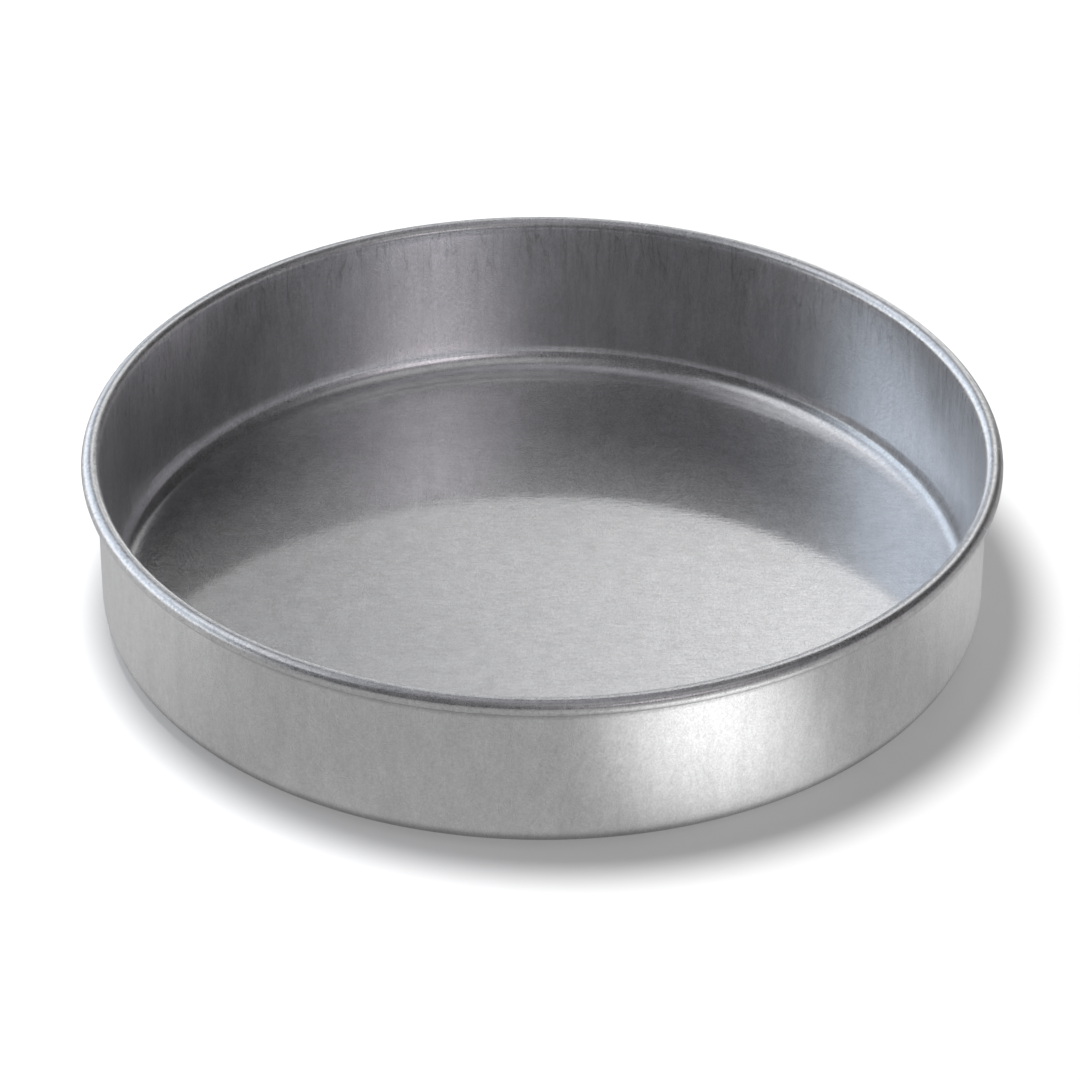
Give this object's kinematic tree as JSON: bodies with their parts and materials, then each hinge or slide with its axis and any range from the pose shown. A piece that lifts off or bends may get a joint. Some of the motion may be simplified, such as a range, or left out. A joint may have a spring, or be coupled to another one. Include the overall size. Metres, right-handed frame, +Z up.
{
  "type": "round cake tin",
  "caption": "Round straight-sided cake tin: one drawn sheet with a flat floor, a rounded inner corner and a rim rolled over wire.",
  "frame": {"origin": "centre of the underside, on the surface that the tin stands on", "axes": "+Z up along the tin's axis of revolution; +Y points at the butt joint of the rim's wire"},
  "size_m": [0.2644, 0.2644, 0.052],
  "materials": {
    "aluminised_steel": "satin, aluminised",
    "steel_wire": "drawn wire, uncoated"
  },
  "bodies": {
    "root": {"pan_shell": "aluminised_steel", "rim_wire": "steel_wire"}
  },
  "joints": []
}
